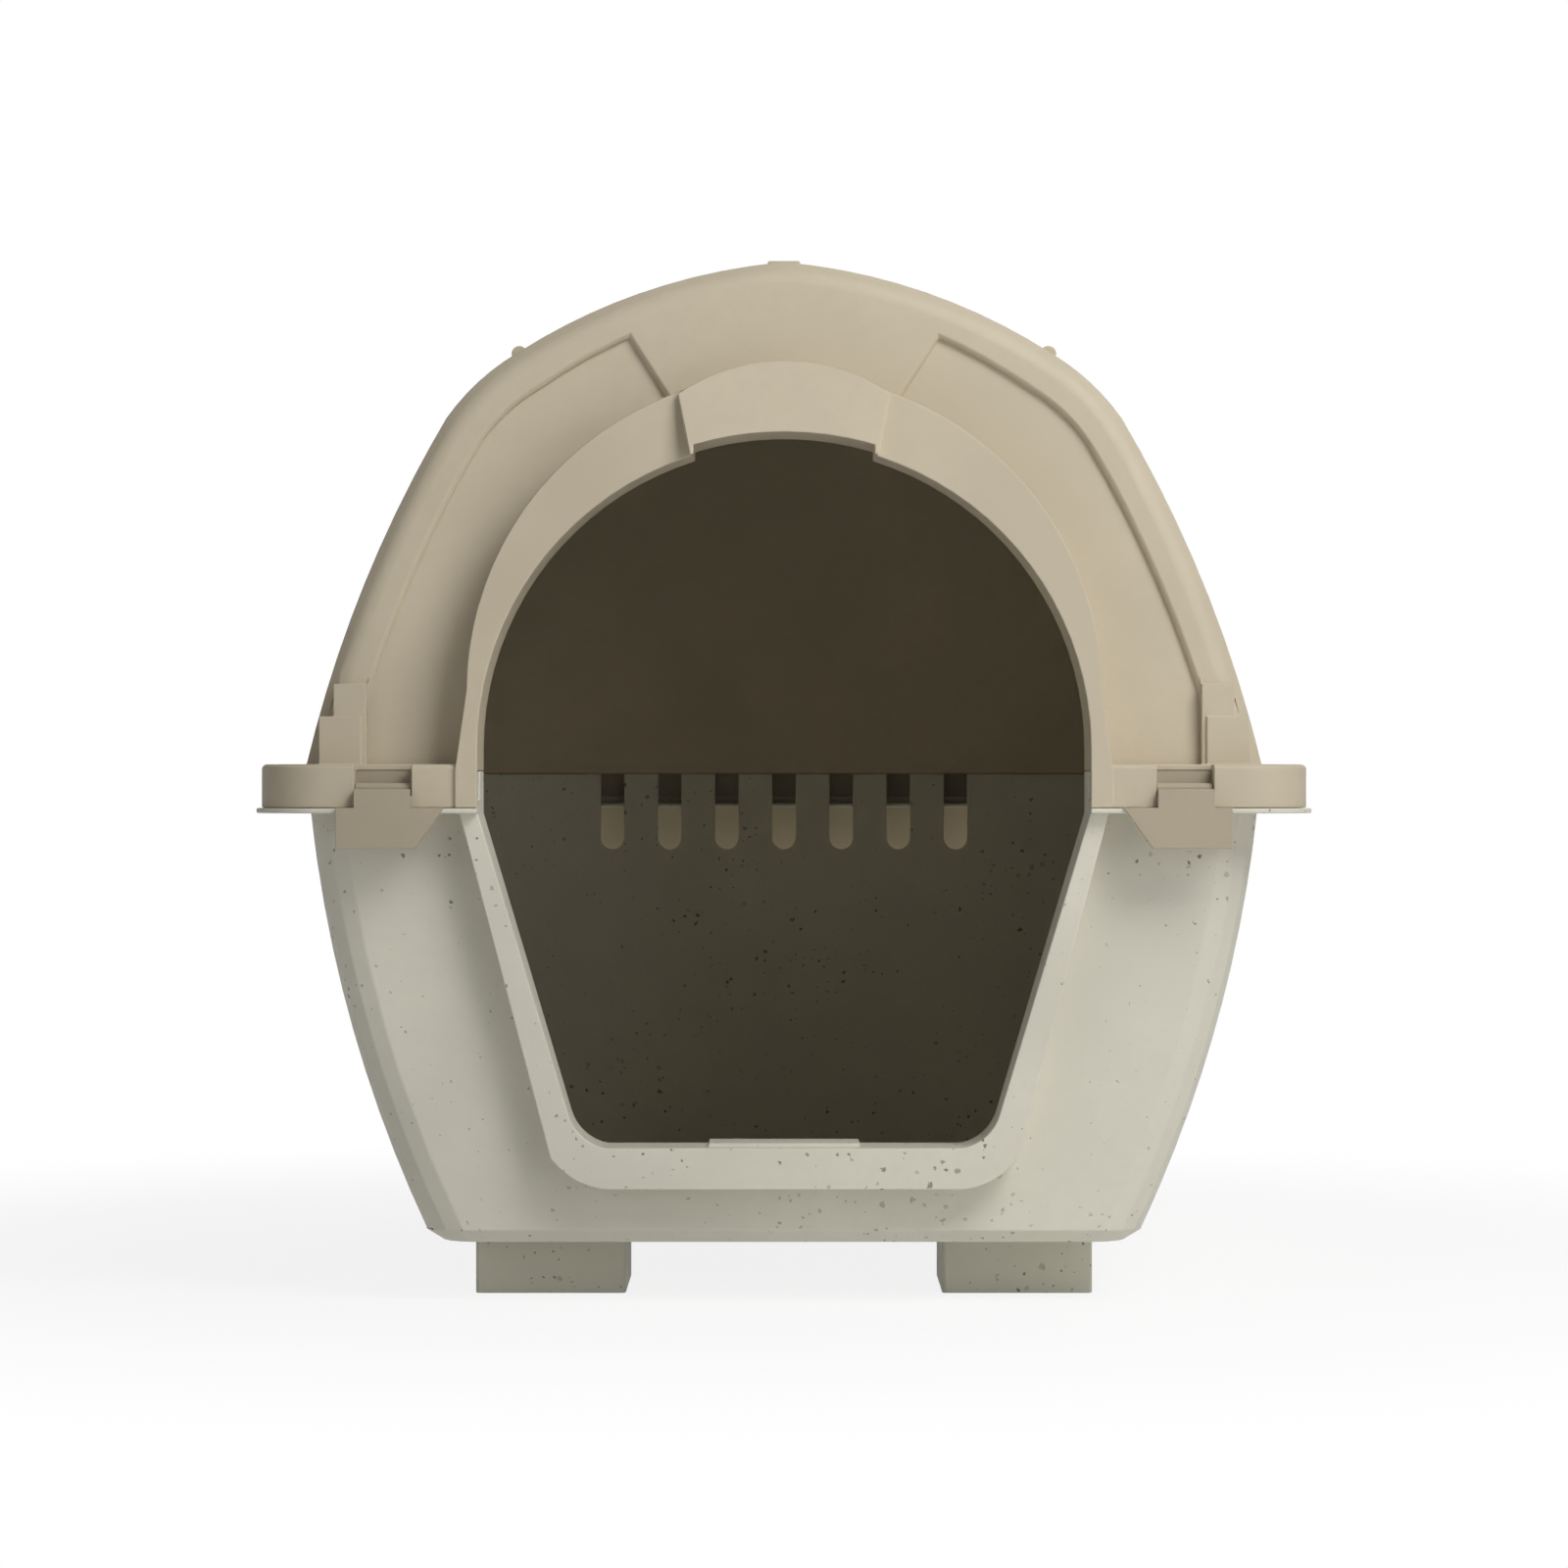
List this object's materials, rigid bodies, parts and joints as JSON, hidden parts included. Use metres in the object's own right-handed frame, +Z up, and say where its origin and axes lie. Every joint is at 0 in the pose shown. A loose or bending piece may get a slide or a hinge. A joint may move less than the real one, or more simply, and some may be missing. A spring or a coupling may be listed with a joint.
{
  "type": "dog house",
  "caption": "Barn-shaped plastic dog house in two nested shells, with an arched doorway, air slots at the rear, latches at the seam and feet.",
  "frame": {"origin": "on the ground under the middle of the house", "axes": "+X to the right seen from the doorway's side, the doorway faces -Y, +Z up"},
  "size_m": [0.672, 0.8456, 0.6685],
  "materials": {
    "roof_plastic": "matte moulded polymer, lightly textured",
    "tub_plastic": "matte moulded polymer with sparse dark flecks",
    "screw_steel": "zinc-plated"
  },
  "bodies": {
    "base": {"lower_shell": "tub_plastic", "foot_front_left": "tub_plastic", "foot_front_right": "tub_plastic", "foot_rear_left": "tub_plastic", "foot_rear_right": "tub_plastic", "foot_screws": "screw_steel"},
    "roof": {"upper_shell": "roof_plastic"},
    "latch_front_left": {"latch_front_left": "roof_plastic"},
    "latch_front_right": {"latch_front_right": "roof_plastic"},
    "latch_rear_left": {"latch_rear_left": "roof_plastic"},
    "latch_rear_right": {"latch_rear_right": "roof_plastic"}
  },
  "joints": [
    {"name": "roof_lift", "type": "slide", "parent": "base", "child": "roof", "axis": [0, 0, 1], "range_m": [0, 0.12]},
    {"name": "latch_front_left_swing", "type": "hinge", "parent": "roof", "child": "latch_front_left", "pos_m": [-0.2525, -0.409, 0.3295], "axis": [-1, 0, 0], "range_deg": [0, 105]},
    {"name": "latch_front_right_swing", "type": "hinge", "parent": "roof", "child": "latch_front_right", "pos_m": [0.2525, -0.409, 0.3295], "axis": [-1, 0, 0], "range_deg": [0, 105]},
    {"name": "latch_rear_left_swing", "type": "hinge", "parent": "roof", "child": "latch_rear_left", "pos_m": [-0.2525, 0.409, 0.3295], "axis": [1, 0, 0], "range_deg": [0, 105]},
    {"name": "latch_rear_right_swing", "type": "hinge", "parent": "roof", "child": "latch_rear_right", "pos_m": [0.2525, 0.409, 0.3295], "axis": [1, 0, 0], "range_deg": [0, 105]}
  ]
}
